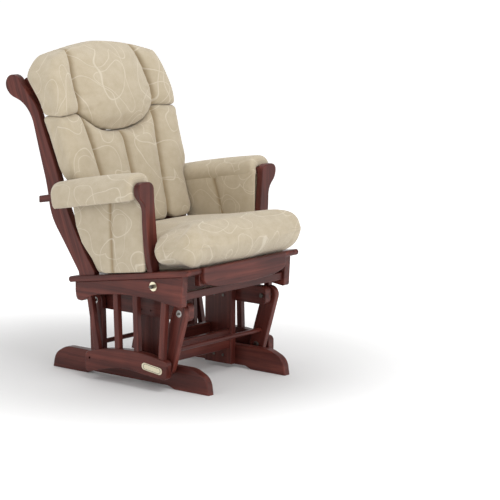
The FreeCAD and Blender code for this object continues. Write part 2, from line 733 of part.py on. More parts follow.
def back_cushion_outline():
    """The lower back cushion in side view, lying against the posts and slats."""
    return rounded(
        (48, size("back_cushion_low"), 24), (78, 560, FREE), (112, 700, FREE),
        (146, 818, 16), (253, 818, 10), (216, 730, FREE), (178, 646, FREE), (142, 552, FREE), (108, 486, 20))


def headrest_outline():
    """The headrest cushion, fuller than the lower back and rounded over the top."""
    return rounded(
        (140, 819.5, 16), (152, 880, FREE), (182, 964, FREE), (224, 1032, FREE),
        (284, 1056, FREE), (326, 1020, FREE), (334, 950, FREE), (264, 864, FREE),
        (250, 819.5, 10))


def make_back_cushions():
    lower = board("back_cushion_blank", back_cushion_outline(), "2 * @back_half", ease="16")
    bind(lower, Placement__Base__x="-@back_half")
    notches = []
    for side, sign in sides():
        low_x = "@back_low_half" if sign > 0 else f"-@back_half - {NOTCH_MARGIN}"
        low_z = f"@back_cushion_low - {NOTCH_MARGIN}"
        notches.append(box(f"back_notch_{side}", (low_x, "0", low_z),
                           (f"@back_half - @back_low_half + {NOTCH_MARGIN}",
                            "@back_notch_deep", f"@back_notch_top - ({low_z})")))
    node(cut("back_cushion_tee", lower, group("back_notches", notches)), "back_cushion")
    head = board("head_cushion_blank", headrest_outline(), "2 * @head_half", ease="20")
    bind(head, Placement__Base__x="-@head_half")
    node(head, "headrest_cushion")


def arm_pad_section():
    """The pad over the arm board seen from the front: a roll with a deeper outer skirt."""
    inner, crown = size("pad_inner"), size("pad_crown")
    outer = inner + size("pad_wide")
    return rounded((inner, -size("pad_inner_skirt"), 6), (outer, -size("pad_outer_skirt"), 6),
                   (outer, crown, 40), (inner, crown, 40))


def make_arm_pads():
    """One pad over each arm board, behind the post's nose, hollowed to clear the board."""
    slope = math.degrees(math.atan2(arm_top(size("arm_rear")) - arm_top(size("arm_front")),
                                    size("arm_rear") - size("arm_front")))
    long = size("pad_rear") - size("pad_front")
    gap = size("soft_gap")
    for side, sign in sides():
        roll = board(f"arm_pad_{side}_roll", arm_pad_section(), f"{long}", plane="front",
                     ease="14")
        roll.Placement = Placement(Vector(0, size("pad_rear"), arm_top(size("pad_rear"))),
                                   Rotation(Vector(1, 0, 0), slope))
        core = board(f"arm_pad_{side}_core", arm_board_cavity(), f"@arm_wide + 2 * {gap}",
                     ease="")
        bind(core, Placement__Base__x=f"@arm_inner - {gap}")
        pad = cut(f"arm_pad_{side}_hollow", roll, core)
        if sign < 0:
            mirrored = doc.addObject("Part::Mirroring", f"arm_pad_{side}_mirror")
            mirrored.Source = pad
            mirrored.Normal = Vector(1, 0, 0)
            pad = mirrored
        node(pad, f"arm_pad_{side}")


def arm_board_cavity():
    """The arm board's side view grown by the gap, open through the pad's underside."""
    gap, deep = size("soft_gap"), size("pad_outer_skirt") + size("pad_void_margin")
    front, rear = size("arm_front") - gap, size("arm_rear")
    return rounded((front, arm_top(front) - deep, SHARP), (rear, arm_top(rear) - deep, SHARP),
                   (rear, arm_top(rear) + gap, SHARP), (front, arm_top(front) + gap, SHARP))


def make_arm_panels():
    """Padded panels that close the arm outside and inside, under the arm board."""
    gap = size("soft_gap")
    front = size("arm_front") + gap

    def top(y):
        return arm_top(y) - size("pad_inner_skirt") - size("panel_drop")

    outer = rounded((front, plank_top(front) + gap, 10), (-26, plank_top(-26) + gap, 10),
                    (50, 456, FREE), (82, top(82), 10), (front, top(front), 10))
    inner = rounded((front, plank_top(front) + gap, 10), (16, plank_top(16) + gap, 10),
                    (70, 424, FREE), (116, top(116), 10), (front, top(front), 10))
    for side, sign in sides():
        for name, outline in (("outer", outer), ("inner", inner)):
            panel = board(f"arm_{name}_panel_{side}_blank", outline, f"@{name}_panel_thick",
                          ease="6")
            at_side(panel, sign, f"@{name}_panel_inner", f"@{name}_panel_thick")
            node(panel, f"arm_{name}_panel_{side}")


# ---------------------------------------------------------------- build and export


def check(items):
    """Stops on any object that failed to compute and on any sub-part that isn't sound."""
    doc.recompute()
    for item in doc.Objects:
        if {"Invalid", "Error"} & set(item.State):
            raise RuntimeError(f"{item.Name} is {item.State}")
    for item in items:
        if item.Shape.isNull() or not item.Shape.isValid() or not item.Shape.Solids:
            raise RuntimeError(f"{item.Label} is not a sound solid")


def main():
    make_base()
    make_links("front", FRONT_TOP, size("front_lean"), FRONT_LOW, size("front_crossbar_drop"),
               "@open_pivot_gap")
    make_links("rear", REAR_TOP, size("rear_lean"), REAR_LOW, size("rear_crossbar_drop"),
               "@running_gap")
    make_pivots()
    make_seat_sides()
    make_seat_cross_members()
    make_back()
    make_arms()
    make_lock()
    make_plate()
    make_seat_cushion()
    make_back_cushions()
    make_arm_pads()
    make_arm_panels()
    check(NODES)
    os.makedirs("parts", exist_ok=True)
    for item in NODES:
        item.Shape.exportStep(f"parts/{item.Label}.step")
    print(f"wrote {len(NODES)} nodes")
    print("front lower pivot", FRONT_LOW, "rear lower pivot", REAR_LOW)


main()
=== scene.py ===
# %% [markdown]
# # A glider nursery chair
# The chair has a low wooden base, four swing arms, a seat frame with spindles, a reclined
# back and loose cushions in a cream jacquard. The wooden and metal parts arrive finished in
# size and place. This lesson gives them their finishes and makes the upholstery, which no
# flat block can stand for: every cushion is cut out flat, stuffed by a cloth simulation,
# stitched, and only then bent to the shape of the chair.
# %% Load the chair's frame and keep its box
import math

import bmesh
import bpy
import numpy as np
from mathutils import Matrix, Vector


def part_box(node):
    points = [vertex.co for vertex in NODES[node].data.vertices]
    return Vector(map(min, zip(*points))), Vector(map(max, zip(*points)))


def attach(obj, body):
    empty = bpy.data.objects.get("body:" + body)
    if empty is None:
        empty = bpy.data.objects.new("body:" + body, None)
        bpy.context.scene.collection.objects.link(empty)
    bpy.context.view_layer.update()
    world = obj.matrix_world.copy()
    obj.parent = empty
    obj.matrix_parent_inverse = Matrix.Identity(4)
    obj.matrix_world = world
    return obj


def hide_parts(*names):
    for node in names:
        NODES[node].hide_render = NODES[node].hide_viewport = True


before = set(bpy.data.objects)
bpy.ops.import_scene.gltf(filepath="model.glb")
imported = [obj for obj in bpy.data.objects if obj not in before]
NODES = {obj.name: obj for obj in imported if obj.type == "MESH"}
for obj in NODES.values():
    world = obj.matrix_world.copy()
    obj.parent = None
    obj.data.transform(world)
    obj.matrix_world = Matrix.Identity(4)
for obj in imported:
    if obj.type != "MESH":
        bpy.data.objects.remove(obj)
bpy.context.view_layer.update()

MM = 0.001

# %% [markdown]
# ## The camera
# The chair is seen from a little above seat height, from its front right corner, with a
# long lens that keeps uprights nearly parallel. A camera could be aimed by a Track To
# constraint, but its axes are worked out here from an azimuth, an elevation and a small
# roll, because then each of the three can be tuned on its own.
# %% Aim the camera
VIEW_AZIMUTH = math.radians(-50.842)
VIEW_ELEVATION = math.radians(9.54)
VIEW_ROLL = math.radians(0.387)
VIEW_DISTANCE = 7.183
VIEW_TARGET = Vector((0.0313, -0.3654, 0.4239))
LENS, SENSOR_WIDTH = 165.09, 36.0


def add_camera():
    """The scene's camera, looking at the target from its two angles, then rolled."""
    back = Vector((math.sin(VIEW_AZIMUTH) * math.cos(VIEW_ELEVATION),
                   -math.cos(VIEW_AZIMUTH) * math.cos(VIEW_ELEVATION),
                   math.sin(VIEW_ELEVATION)))
    right = (-back).cross(Vector((0, 0, 1))).normalized()
    up = back.cross(right)
    turned = Matrix((right, up, back)).transposed().to_4x4()
    data = bpy.data.cameras.new("view")
    data.lens, data.sensor_width = LENS, SENSOR_WIDTH
    camera = bpy.data.objects.new("view", data)
    place = Matrix.Translation(VIEW_TARGET + VIEW_DISTANCE * back)
    camera.matrix_world = place @ turned @ Matrix.Rotation(VIEW_ROLL, 4, "Z")
    bpy.context.scene.collection.objects.link(camera)
    bpy.context.scene.camera = camera
    return camera


camera = add_camera()
print("camera at", [round(v, 2) for v in camera.matrix_world.translation])

# %% [markdown]
# ## Floor and light
# A studio shot of a light chair wants a floor that is almost white, a broad key light from
# the front, a weaker fill from the side, a third light from above and behind, and a bright
# surround that lifts the shadows. Area lights give soft edges to the shadows; a sun would
# draw hard ones. The floor glows more with distance, so that it fades to white; its dim
# glow round the chair is a painted shadow.
# %% Lay the floor and place the lights


def new_object(name, mesh):
    """An object in the scene's own collection."""
    thing = bpy.data.objects.new(name, mesh)
    bpy.context.scene.collection.objects.link(thing)
    return thing


def from_bmesh(name, bm):
    """Makes an object of a bmesh and frees it."""
    mesh = bpy.data.meshes.new(name)
    bm.to_mesh(mesh)
    bm.free()
    return new_object(name, mesh)


def shaded(name):
    """A new node material with its tree and its main shader."""
    material = bpy.data.materials.new(name)
    material.use_nodes = True
    tree = material.node_tree
    return material, tree, tree.nodes["Principled BSDF"]


def add_node(tree, kind, **values):
    """Adds a shader node and sets its properties, or its inputs where the name is one."""
    item = tree.nodes.new(kind)
    for name, value in values.items():
        if hasattr(item, name):
            setattr(item, name, value)
        else:
            item.inputs[name.replace("_", " ")].default_value = value
    return item


def map_range(tree, reads, gives, smooth=False):
    """A node that turns one range of values into another."""
    kind = "SMOOTHSTEP" if smooth else "LINEAR"
    item = add_node(tree, "ShaderNodeMapRange", interpolation_type=kind)
    for name, (low, high) in (("From", reads), ("To", gives)):
        item.inputs[f"{name} Min"].default_value = low
        item.inputs[f"{name} Max"].default_value = high
    return item


FLOOR_HALF = 60.0
FADE_FROM, FADE_TO = 0.45, 1.5
# The near glow is a painted shadow round the chair; the far glow is the plain white floor.
SHADOW_GLOW_NEAR, GLOW_FAR = 0.06, 0.6


def make_floor():
    """A pale floor that glows more away from the chair; its dim glow round the chair is a
    painted shadow.
    """
    bm = bmesh.new()
    bmesh.ops.create_grid(bm, x_segments=1, y_segments=1, size=FLOOR_HALF)
    floor = from_bmesh("floor", bm)
    material, tree, shader = shaded("pale_floor")
    place = tree.nodes.new("ShaderNodeTexCoord")
    length = add_node(tree, "ShaderNodeVectorMath", operation="LENGTH")
    # The dim glow near the chair is a painted shadow on the floor.
    glow = map_range(tree, (FADE_FROM, FADE_TO), (SHADOW_GLOW_NEAR, GLOW_FAR), smooth=True)
    tree.links.new(place.outputs["Object"], length.inputs[0])
    tree.links.new(length.outputs["Value"], glow.inputs["Value"])
    tree.links.new(glow.outputs["Result"], shader.inputs["Emission Strength"])
    shader.inputs["Roughness"].default_value = 0.9
    shader.inputs["Base Color"].default_value = (0.80, 0.80, 0.80, 1)
    shader.inputs["Emission Color"].default_value = (1, 1, 1, 1)
    floor.data.materials.append(material)


LIGHT_AIM = Vector((0, 0, 0.5))


def area_light(name, azimuth, elevation, distance, width, power):
    """A square soft light, with its angles in degrees, aimed at the middle of the chair."""
    azimuth, elevation = math.radians(azimuth), math.radians(elevation)
    data = bpy.data.lights.new(name, "AREA")
    data.size, data.energy = width, power
    light = bpy.data.objects.new(name, data)
    way = Vector((math.sin(azimuth) * math.cos(elevation),
                  -math.cos(azimuth) * math.cos(elevation), math.sin(elevation)))
    light.matrix_world = Matrix.Translation(way * distance + LIGHT_AIM) @ (
        way.to_track_quat("Z", "Y").to_matrix().to_4x4())
    bpy.context.scene.collection.objects.link(light)


make_floor()
area_light("key", -14, 46, distance=4.2, width=2.2, power=74)
area_light("fill", -95, 28, distance=4.5, width=3.0, power=18)
area_light("top", 150, 72, distance=4.0, width=2.5, power=45)

# %% Light the surround
HORIZON_TOP, ZENITH_FROM = 0.12, 0.5
HORIZON_GLOW, ZENITH_GLOW = 1.0, 0.5


def make_surround():
    """White light all round, brightest along the horizon, where it meets the floor."""
    world = bpy.data.worlds.new("surround")
    world.use_nodes = True
    tree = world.node_tree
    place = tree.nodes.new("ShaderNodeTexCoord")
    height = tree.nodes.new("ShaderNodeSeparateXYZ")
    glow = map_range(tree, (HORIZON_TOP, ZENITH_FROM), (HORIZON_GLOW, ZENITH_GLOW),
                     smooth=True)
    tree.links.new(place.outputs["Generated"], height.inputs["Vector"])
    tree.links.new(height.outputs["Z"], glow.inputs["Value"])
    tree.links.new(glow.outputs["Result"], tree.nodes["Background"].inputs["Strength"])
    tree.nodes["Background"].inputs["Color"].default_value = (1, 1, 1, 1)
    bpy.context.scene.world = world


make_surround()
bpy.context.scene.view_settings.view_transform = "Standard"
print("surround", bpy.context.scene.world.name)

# %% [markdown]
# ## Cherry-stained wood
# Every wooden part is solid hardwood stained dark cherry under a satin lacquer. The grain
# always runs along the length of a board, so one material for all would be wrong: half the
# boards would show grain across them. Instead a function makes the finish for a given
# grain direction. It turns the coordinates so that the grain lies along Z and squeezes
# them along it, and noise read there draws out into fibres.
# %% The wood finish


def ramp(tree, stops):
    """A colour ramp with the given (place, colour) stops."""
    item = tree.nodes.new("ShaderNodeValToRGB")
    marks = item.color_ramp.elements
    while len(marks) < len(stops):
        marks.new(0.5)
    for mark, (place, colour) in zip(marks, stops):
        mark.position, mark.color = place, (*colour, 1)
    return item


def mixed(tree, base, over, factor=1.0, kind="MULTIPLY"):
    """A base colour with another laid over it; each may be a socket or a plain value."""
    item = add_node(tree, "ShaderNodeMix", data_type="RGBA", blend_type=kind)
    for name, value in (("A", base), ("B", over), ("Factor", factor)):
        if isinstance(value, bpy.types.NodeSocket):
            tree.links.new(value, item.inputs[name])
        else:
            item.inputs[name].default_value = value
    return item.outputs["Result"]


def raise_surface(tree, shader, height, strength, distance):
    """Bumps a shader's surface by a height socket."""
    bump = add_node(tree, "ShaderNodeBump", Strength=strength, Distance=distance)
    tree.links.new(height, bump.inputs["Height"])
    tree.links.new(bump.outputs["Normal"], shader.inputs["Normal"])


GRAIN_SQUEEZE = 0.045


def wood_noises(tree, grain):
    """Fine fibre, broad figure and wide clouding, the first two drawn out along the grain."""
    link = tree.links.new
    turn = Vector(grain).rotation_difference(Vector((0, 0, 1))).to_euler()
    place = tree.nodes.new("ShaderNodeTexCoord")
    upright = add_node(tree, "ShaderNodeMapping", Rotation=turn)
    squeeze = add_node(tree, "ShaderNodeMapping", Scale=(1, 1, GRAIN_SQUEEZE))
    link(place.outputs["Object"], upright.inputs["Vector"])
    link(upright.outputs["Vector"], squeeze.inputs["Vector"])
    fibre = add_node(tree, "ShaderNodeTexNoise", Scale=260.0, Detail=6.0, Roughness=0.62)
    figure = add_node(tree, "ShaderNodeTexNoise", Scale=38.0, Detail=3.0, Distortion=1.2)
    cloud = add_node(tree, "ShaderNodeTexNoise", Scale=7.0, Detail=2.0)
    for noise, source in ((fibre, squeeze), (figure, squeeze), (cloud, upright)):
        link(source.outputs["Vector"], noise.inputs["Vector"])
    return [noise.outputs["Fac"] for noise in (fibre, figure, cloud)]


PORE_SHARE = 0.55


def wood_finish(name, grain):
    """Dark cherry stain with grain along the given direction."""
    material, tree, shader = shaded(name)
    link = tree.links.new
    fibre, figure, cloud = wood_noises(tree, grain)
    stain = ramp(tree, [(0.30, (0.056, 0.0125, 0.0100)), (0.50, (0.094, 0.0215, 0.0160)),
                        (0.72, (0.150, 0.0370, 0.0265))])
    tone = ramp(tree, [(0.3, (0.72, 0.68, 0.68)), (0.7, (1.16, 1.12, 1.08))])
    pores = ramp(tree, [(0.34, (0.35, 0.32, 0.32)), (0.43, (1.0, 1.0, 1.0))])
    sheen = map_range(tree, (0, 1), (0.30, 0.46))
    for noise, reader in ((figure, stain), (cloud, tone), (fibre, pores)):
        link(noise, reader.inputs["Fac"])
    link(fibre, sheen.inputs["Value"])
    clouded = mixed(tree, stain.outputs["Color"], tone.outputs["Color"])
    grained = mixed(tree, clouded, pores.outputs["Color"], PORE_SHARE)
    link(grained, shader.inputs["Base Color"])
    link(sheen.outputs["Result"], shader.inputs["Roughness"])
    raise_surface(tree, shader, fibre, strength=0.12, distance=0.0006)
    shader.inputs["Specular IOR Level"].default_value = 0.24
    shader.inputs["Coat Weight"].default_value = 0.08
    shader.inputs["Coat Roughness"].default_value = 0.2
    return material


def leaning(degrees):
    """A grain direction that runs up and leans to the rear."""
    return (0, math.sin(math.radians(degrees)), math.cos(math.radians(degrees)))


WOOD = {
    "across": wood_finish("cherry_across", (1, 0, 0)),
    "lengthwise": wood_finish("cherry_lengthwise", (0, 1, 0)),
    "upright": wood_finish("cherry_upright", (0, 0, 1)),
    "sloping": wood_finish("cherry_sloping", leaning(99)),
    "reclined": wood_finish("cherry_reclined", leaning(21)),
    "front_link": wood_finish("cherry_front_link", leaning(-16.5)),
}
print("wood finishes", len(WOOD))

# %% Give each wooden board the finish that runs along it
GRAIN = {
    "across": ["front_stretcher", "rear_stretcher", "front_crossbar", "rear_crossbar",
               "front_apron", "front_cross_rail", "seat_front_rail", "seat_rear_rail",
               "crest_rail", "back_lower_rail"],
    "lengthwise": ["base_foot", "base_rail", "seat_side_rail", "lower_side_rail"],
    "upright": ["base_post", "spindles", "arm_post", "rear_link"],
    "sloping": ["seat_plank", "arm_board"],
    "reclined": ["back_post", "back_slats"],
    "front_link": ["front_link"],
}


def both_sides(name):
    """The node of that name, or the left and right nodes of a pair."""
    return [name] if name in NODES else [f"{name}_left", f"{name}_right"]


def finish_node(name, material):
    """Puts one material on every face of a node, without touching its mesh."""
    slots = NODES[name].material_slots
    if not slots:
        NODES[name].data.materials.append(material)
    for slot in slots:
        slot.link = "OBJECT"
        slot.material = material


for run, names in GRAIN.items():
    for name in names:
        for each in both_sides(name):
            finish_node(each, WOOD[run])
print("boards finished", sum(len(names) for names in GRAIN.values()))

# %% [markdown]
# ## Metal and nylon
# Bolts, screws and the lock's knob are dark steel, the springs, bearings and cam are plain
# steel, the two plates are pale brass and the spacers black nylon. All are small, so what
# matters is that each catches the light differently: metal with a fine turned scratch,
# nylon with a waxy, soft gloss.
# %% Metal and nylon finishes


def metal_finish(name, colour, roughness, scratch):
    """A metal with fine noise in its gloss."""
    material, tree, shader = shaded(name)
    shader.inputs["Metallic"].default_value = 1.0
    place = tree.nodes.new("ShaderNodeTexCoord")
    noise = add_node(tree, "ShaderNodeTexNoise", Scale=scratch, Detail=4.0)
    tree.links.new(place.outputs["Object"], noise.inputs["Vector"])
    tint = ramp(tree, [(0.3, [c * 0.78 for c in colour]), (0.7, colour)])
    gloss = map_range(tree, (0, 1), (roughness * 0.7, roughness * 1.3))
    tree.links.new(noise.outputs["Fac"], tint.inputs["Fac"])
    tree.links.new(noise.outputs["Fac"], gloss.inputs["Value"])
    tree.links.new(tint.outputs["Color"], shader.inputs["Base Color"])
    tree.links.new(gloss.outputs["Result"], shader.inputs["Roughness"])
    return material


def nylon_finish():
    """Black nylon, slightly mottled."""
    material, tree, shader = shaded("black_nylon")
    place = tree.nodes.new("ShaderNodeTexCoord")
    noise = add_node(tree, "ShaderNodeTexNoise", Scale=900.0, Detail=2.0)
    tint = ramp(tree, [(0.3, (0.010, 0.010, 0.011)), (0.7, (0.022, 0.021, 0.020))])
    tree.links.new(place.outputs["Object"], noise.inputs["Vector"])
    tree.links.new(noise.outputs["Fac"], tint.inputs["Fac"])
    tree.links.new(tint.outputs["Color"], shader.inputs["Base Color"])
    shader.inputs["Roughness"].default_value = 0.42
    return material


STEEL = metal_finish("bearing_steel", (0.46, 0.45, 0.43), 0.34, 500.0)
DARK_STEEL = metal_finish("dark_steel", (0.16, 0.145, 0.13), 0.4, 500.0)
BRASS = metal_finish("satin_brass", (0.90, 0.83, 0.62), 0.30, 600.0)
NYLON = nylon_finish()
HARDWARE = {
    "seat_springs": STEEL, "front_link_bearings": STEEL, "rear_link_bearings": STEEL,
    "lock_cam": STEEL, "base_screws": DARK_STEEL, "upper_pivot_bolts": DARK_STEEL,
    "lower_pivot_bolts": DARK_STEEL, "lock_knob": DARK_STEEL, "lock_plate": BRASS,
    "blank_plate": BRASS, "upper_pivot_spacers": NYLON, "lower_pivot_spacers": NYLON,
}
for name, material in HARDWARE.items():
    finish_node(name, material)
print("hardware finished", len(HARDWARE))

# %% Add the raised bead of the oval plate
PLATE_TILT = math.radians(7)
BEAD_OUTER, BEAD_WIDE, BEAD_PROUD = 8.6, 1.2, 0.5
BEAD_SIDES = 64


def make_plate_bead():
    """A thin dark bead just inside the edge of the blank plate, drawn out to an oval."""
    low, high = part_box("blank_plate")
    middle = (low + high) / 2
    reach = (high.y - low.y - (high.z - low.z)) / 2
    bm = bmesh.new()
    bmesh.ops.create_circle(bm, cap_ends=True, segments=BEAD_SIDES,
                            radius=BEAD_OUTER * MM)
    for end in (1, -1):
        half = [v for v in bm.verts if v.co.x * end > 0]
        bmesh.ops.translate(bm, verts=half, vec=(end * reach, 0, 0))
    bmesh.ops.inset_region(bm, faces=bm.faces[:], thickness=BEAD_WIDE * MM,
                           use_boundary=True, use_even_offset=True)
    inner = max(bm.faces, key=lambda face: face.calc_area())
    bmesh.ops.delete(bm, geom=[inner], context="FACES")
    raised = bmesh.ops.extrude_face_region(bm, geom=bm.faces[:])
    top = [g for g in raised["geom"] if isinstance(g, bmesh.types.BMVert)]
    bmesh.ops.translate(bm, verts=top, vec=(0, 0, BEAD_PROUD * MM))
    bmesh.ops.recalc_face_normals(bm, faces=bm.faces)
    turn = Matrix(((0, 0, -1), (1, 0, 0), (0, 1, 0))) @ Matrix.Rotation(PLATE_TILT, 3, "Z")
    place = Matrix.Translation((low.x, middle.y, middle.z)) @ turn.to_4x4()
    bmesh.ops.transform(bm, matrix=place, verts=bm.verts)
    bmesh.ops.recalc_face_normals(bm, faces=bm.faces)
    bead = from_bmesh("plate_bead", bm)
    bead.data.materials.append(DARK_STEEL)
    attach(bead, "seat")
    print("plate bead faces", len(bead.data.polygons))


make_plate_bead()

# %% [markdown]
# ## Cream jacquard
# The cloth is a heavy cream jacquard: a plain weave with wandering loops woven in a paler,
# shinier thread. The loops are distances in a bent Voronoi pattern: where the distance to a
# cell's centre passes one value, a ring is drawn, and noise bends the rings into loose
# loops. Each cushion keeps the flat place of every point of its cloth as a UV map in
# metres, so the weave lies on the surface like real cloth and keeps its scale.
# %% The cloth finish
LINE_EDGE, LINE_CORE = 0.014, 0.004
LOOP_BEND, LOOP_STRENGTH = 0.2, 0.27
LOOP_HEIGHT = 0.9


def math_node(tree, operation, *values):
    """The result of a sum whose terms are sockets or numbers."""
    item = add_node(tree, "ShaderNodeMath", operation=operation)
    for socket, value in zip(item.inputs, values):
        if isinstance(value, bpy.types.NodeSocket):
            tree.links.new(value, socket)
        else:
            socket.default_value = value
    return item.outputs["Value"]


def loops(tree, flat, scale, radius, offset):
    """Paler loops of thread, about 1/scale metres apart."""
    link = tree.links.new
    shift = add_node(tree, "ShaderNodeMapping", Location=offset)
    bend = add_node(tree, "ShaderNodeTexNoise", Scale=scale * 0.6, Detail=1.0)
    mix = add_node(tree, "ShaderNodeMix", data_type="VECTOR")
    mix.inputs["Factor"].default_value = LOOP_BEND
    cells = add_node(tree, "ShaderNodeTexVoronoi", voronoi_dimensions="2D", Scale=scale,
                     Randomness=0.85)
    line = map_range(tree, (LINE_EDGE, LINE_CORE), (0, 1), smooth=True)
    link(flat, shift.inputs["Vector"])
    link(shift.outputs["Vector"], bend.inputs["Vector"])
    link(shift.outputs["Vector"], mix.inputs["A"])
    link(bend.outputs["Color"], mix.inputs["B"])
    link(mix.outputs["Result"], cells.inputs["Vector"])
    away = math_node(tree, "SUBTRACT", cells.outputs["Distance"], radius)
    link(math_node(tree, "ABSOLUTE", away), line.inputs["Value"])
    return line.outputs["Result"]


def plain_weave(tree, flat):
    """Two sets of threads that cross."""
    threads = []
    for direction in ("X", "Y"):
        wave = add_node(tree, "ShaderNodeTexWave", bands_direction=direction, Scale=190.0,
                        Distortion=0.6)
        tree.links.new(flat, wave.inputs["Vector"])
        threads.append(wave.outputs["Fac"])
    return math_node(tree, "MULTIPLY", *threads)


def cloth_colour(tree, flat, weave, drawn):
    """Mottled cream, darker between threads, with painted shade along the seams and the loops
    over it.
    """
    link = tree.links.new
    mottle = add_node(tree, "ShaderNodeTexNoise", Scale=26.0, Detail=4.0, Roughness=0.6)
    ground = ramp(tree, [(0.3, (0.490, 0.412, 0.292)), (0.7, (0.562, 0.485, 0.362))])
    shade = ramp(tree, [(0.0, (0.90, 0.89, 0.87)), (0.6, (1.0, 1.0, 1.0))])
    crease = add_node(tree, "ShaderNodeAttribute", attribute_name="crease")
    link(flat, mottle.inputs["Vector"])
    link(mottle.outputs["Fac"], ground.inputs["Fac"])
    link(weave, shade.inputs["Fac"])
    woven = mixed(tree, ground.outputs["Color"], shade.outputs["Color"])
    # Painted shade: the cloth is darker and yellower close to a stitched seam, where its
    # crease falls in shadow.
    crease_shaded = mixed(tree, woven, (0.64, 0.56, 0.44, 1), crease.outputs["Fac"])
    strength = math_node(tree, "MULTIPLY", drawn, LOOP_STRENGTH)
    return mixed(tree, crease_shaded, (0.86, 0.80, 0.68, 1), strength, kind="MIX")


def cloth_finish():
    """Cream jacquard, which lies on the cloth's own flat map."""
    material, tree, shader = shaded("cream_jacquard")
    link = tree.links.new
    flat = add_node(tree, "ShaderNodeUVMap", uv_map="cloth").outputs["UV"]
    drawn = math_node(tree, "MAXIMUM", loops(tree, flat, 9.0, 0.40, (0.3, 0.1, 0)),
                      loops(tree, flat, 7.0, 0.33, (2.7, 1.9, 0)))
    weave = plain_weave(tree, flat)
    link(cloth_colour(tree, flat, weave, drawn), shader.inputs["Base Color"])
    gloss = map_range(tree, (0, 1), (0.86, 0.58))
    link(drawn, gloss.inputs["Value"])
    link(gloss.outputs["Result"], shader.inputs["Roughness"])
    raised = math_node(tree, "MULTIPLY_ADD", drawn, LOOP_HEIGHT, weave)
    raise_surface(tree, shader, raised, strength=0.35, distance=0.0005)
    shader.inputs["Sheen Weight"].default_value = 0.25
    shader.inputs["Sheen Roughness"].default_value = 0.5
    return material


CLOTH = cloth_finish()
print("cloth finish", CLOTH.name)

# %% [markdown]
# ## How a cushion is made
# A real cushion starts as a flat cut of cloth, is sewn up and stuffed. The same order works
# here. The outline of the cut is a few points with rounded corners, extruded to the
# cushion's thickness and remeshed into even squares. Its rim is rounded over, its sewn
# seams are drawn in, and a cloth simulation blows it up with the seams held fast. That
# gives the crowns and small puckers that a modelled curve lacks. Last it is bent from flat
# to the curve of the chair. A sculpted block would be quicker but would look like foam.
# %% Cut a flat cushion out


def cut_out(name, corners, thick):
    """A flat slab, centred on height 0, with an outline of (u, v, corner radius) in mm."""
    bm = bmesh.new()
    loop = [bm.verts.new((u * MM, v * MM, 0)) for u, v, _ in corners]
    bm.faces.new(loop)
    for vert, (_, _, radius) in zip(loop, corners):
        if radius:
            bmesh.ops.bevel(bm, geom=[vert], offset=radius * MM, affect="VERTICES",
                            segments=6, profile=0.5, material=-1)
    face = bm.faces[:][0]
    rim = np.array([v.co.xy for v in face.verts])
    bmesh.ops.translate(bm, verts=bm.verts, vec=(0, 0, -thick * MM / 2))
    raised = bmesh.ops.extrude_face_region(bm, geom=[face])
    lifted = [g for g in raised["geom"] if isinstance(g, bmesh.types.BMVert)]
    bmesh.ops.translate(bm, verts=lifted, vec=(0, 0, thick * MM))
    bmesh.ops.recalc_face_normals(bm, faces=bm.faces)
    return from_bmesh(name, bm), rim


def apply_modifiers(piece):
    """Bakes a piece's modifiers into its mesh."""
    depsgraph = bpy.context.evaluated_depsgraph_get()
    mesh = bpy.data.meshes.new_from_object(piece.evaluated_get(depsgraph))
    piece.modifiers.clear()
    piece.data = mesh


def remesh(piece, voxel):
    """Even squares all over, which cloth needs."""
    step = piece.modifiers.new("squares", "REMESH")
    step.mode, step.voxel_size = "VOXEL", voxel * MM
    apply_modifiers(piece)


def points_of(piece):
    """The piece's points as rows of an array, in metres."""
    flat = np.empty(len(piece.data.vertices) * 3)
    piece.data.vertices.foreach_get("co", flat)
    return flat.reshape(-1, 3)


def set_points(piece, points):
    """Moves the piece's points to the rows of an array."""
    piece.data.vertices.foreach_set("co", points.ravel())
    piece.data.update()


def distance_to_path(points, path, closed=False):
    """Distance of each (u, v) point from a line of straight runs."""
    path = np.asarray(path, float)
    starts, ends = path, np.roll(path, -1, axis=0)
    if not closed:
        starts, ends = path[:-1], path[1:]
    best = np.full(len(points), 1e9)
    for a, b in zip(starts, ends):
        run = b - a
        along = np.clip(((points - a) @ run) / (run @ run), 0, 1)
        best = np.minimum(best, np.linalg.norm(points - a - along[:, None] * run, axis=1))
    return best


# %% Round the rim over, draw the seams in and stuff it
PRESSURE, STUFFING_FRAMES = 4.0, 20
CREASE_WIDTH = 7.0
NO_SEAM = 1.0


def round_rim(piece, rim, roll, left):
    """Thins the slab in an arc towards its outline, where a share of it is left."""
    points = points_of(piece)
    inward = distance_to_path(points[:, :2], rim, closed=True)
    share = np.clip(inward / (roll * MM), 0, 1)
    points[:, 2] *= left + (1 - left) * np.sqrt(1 - (1 - share) ** 2)
    set_points(piece, points)


def seam_distance(points, seams):
    """Distance of each point from the nearest seam, in metres."""
    if not seams:
        return np.full(len(points), NO_SEAM)
    return np.min([distance_to_path(points[:, :2], np.array(s) * MM) for s in seams], axis=0)


def draw_in(piece, seams, depth, reach, rear_share=0.3):
    """Pulls the cloth in along its seams, so that it crowns in a round arc between them."""
    points = points_of(piece)
    share = np.clip(seam_distance(points, seams) / (reach * MM), 0, 1)
    sink = depth * (1 - np.sqrt(1 - (1 - share) ** 2))
    points[:, 2] *= 1 - np.where(points[:, 2] > 0, sink, sink * rear_share)
    set_points(piece, points)


def fast_points(piece, rim, edge, height, seams=(), stitch=3.5):
    """True for points the stuffing may not move: near a seam, or near the outline at
    about middle height. The reaches are in mm."""
    points = points_of(piece)
    outer = distance_to_path(points[:, :2], rim, closed=True) < edge * MM
    stitched = seam_distance(points, seams) < stitch * MM
    return stitched | (outer & (np.abs(points[:, 2]) < height * MM))


